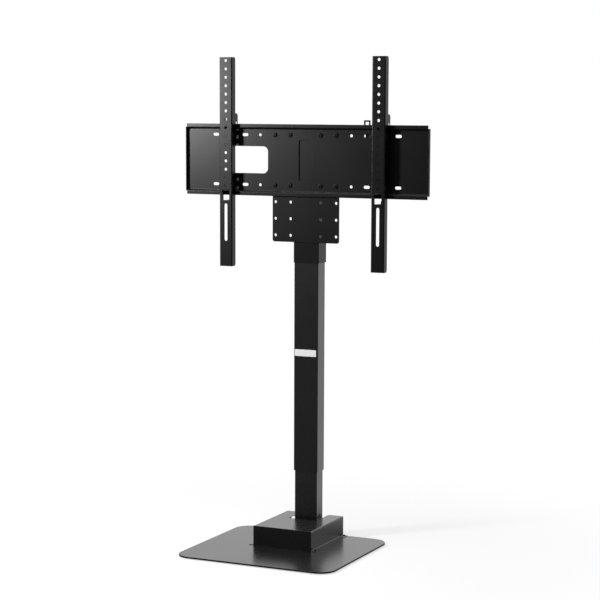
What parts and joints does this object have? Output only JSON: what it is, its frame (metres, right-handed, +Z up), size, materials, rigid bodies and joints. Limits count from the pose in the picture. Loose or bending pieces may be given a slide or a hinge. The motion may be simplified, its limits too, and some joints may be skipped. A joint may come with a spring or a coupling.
{
  "type": "motorized tv stand",
  "caption": "Motorized floor stand: flat base, telescoping screw-lift column and a slotted plate with two sliding screen arms.",
  "frame": {"origin": "on the floor, under the centre of the base plate", "axes": "+Z up along the column, +X to the right seen from the screen side, +Y to the back"},
  "size_m": [0.8, 0.454, 1.465],
  "materials": {
    "black_coat": "satin black powder coat",
    "pad_rubber": "matt black",
    "black_fastener": "black oxide, satin",
    "zinc_fastener": "zinc plated",
    "plain_steel": "thin black coat",
    "bright_steel": "ground",
    "bronze": "machined bronze",
    "glide_plastic": "natural",
    "cast_block": "as cast",
    "motor_can": "plated, satin",
    "black_plastic": "fine texture",
    "white_label": "matt paper",
    "green_board": "lacquered board"
  },
  "bodies": {
    "base": {"base_plate": "black_coat", "base_pads": "pad_rubber", "base_cover": "black_coat", "cover_screws": "black_fastener", "foot_plate": "plain_steel", "foot_screws": "zinc_fastener", "inner_tube": "black_coat", "nut_carrier": "plain_steel", "lift_nut": "bronze", "nut_screws": "zinc_fastener", "inner_glides": "glide_plastic"},
    "lift": {"outer_tube": "black_coat", "mouth_glides": "glide_plastic", "blank_label": "white_label", "outer_cap": "black_plastic", "cable_gland": "black_plastic", "motor_mount": "cast_block", "gearbox": "cast_block", "motor": "motor_can", "gearbox_screws": "zinc_fastener", "bearing_block": "cast_block", "thrust_bearing": "bright_steel", "stack_screws": "black_fastener", "head_bracket": "black_coat", "bracket_screws": "black_fastener", "adapter_plate": "black_coat", "wall_plate": "black_coat", "plate_bolts": "black_fastener", "plate_nuts": "zinc_fastener", "box_holder": "black_coat", "holder_spacers": "plain_steel", "holder_screws": "black_fastener", "box_tray": "black_plastic", "tray_screws": "black_fastener", "box_lid": "black_plastic", "lid_screws": "black_fastener", "control_board": "green_board", "power_inlet": "black_plastic", "motor_socket": "black_plastic"},
    "drive_screw": {"lead_screw": "bright_steel", "output_shaft": "bright_steel", "shaft_coupling": "bright_steel"},
    "left_arm": {"left_arm": "black_coat", "left_lock_nut": "zinc_fastener"},
    "right_arm": {"right_arm": "black_coat", "right_lock_nut": "zinc_fastener"},
    "left_lock": {"left_lock_screw": "zinc_fastener"},
    "right_lock": {"right_lock_screw": "zinc_fastener"},
    "pair_button": {"pair_button": "black_plastic"}
  },
  "joints": [
    {"name": "column_lift", "type": "slide", "parent": "base", "child": "lift", "axis": [0, 0, 1], "range_m": [-0.13, 0.43]},
    {"name": "screw_spin", "type": "hinge", "parent": "lift", "child": "drive_screw", "pos_m": [0, 0.1795, 1], "axis": [0, 0, 1], "range_deg": [-3905, 12905]},
    {"name": "left_arm_slide", "type": "slide", "parent": "lift", "child": "left_arm", "axis": [1, 0, 0], "range_m": [-0.12, 0.15]},
    {"name": "right_arm_slide", "type": "slide", "parent": "lift", "child": "right_arm", "axis": [1, 0, 0], "range_m": [-0.15, 0.12]},
    {"name": "left_lock_turn", "type": "slide", "parent": "left_arm", "child": "left_lock", "axis": [0, 0, 1], "range_m": [-0.004, 0.0208]},
    {"name": "right_lock_turn", "type": "slide", "parent": "right_arm", "child": "right_lock", "axis": [0, 0, 1], "range_m": [-0.008, 0.0168]},
    {"name": "pair_button_press", "type": "slide", "parent": "lift", "child": "pair_button", "axis": [0, -1, 0], "range_m": [0, 0.0012], "stiffness_N_per_m": 400}
  ],
  "couplings": [
    {"joint": "screw_spin", "follows": "column_lift", "rad_per_m": 523.6}
  ]
}
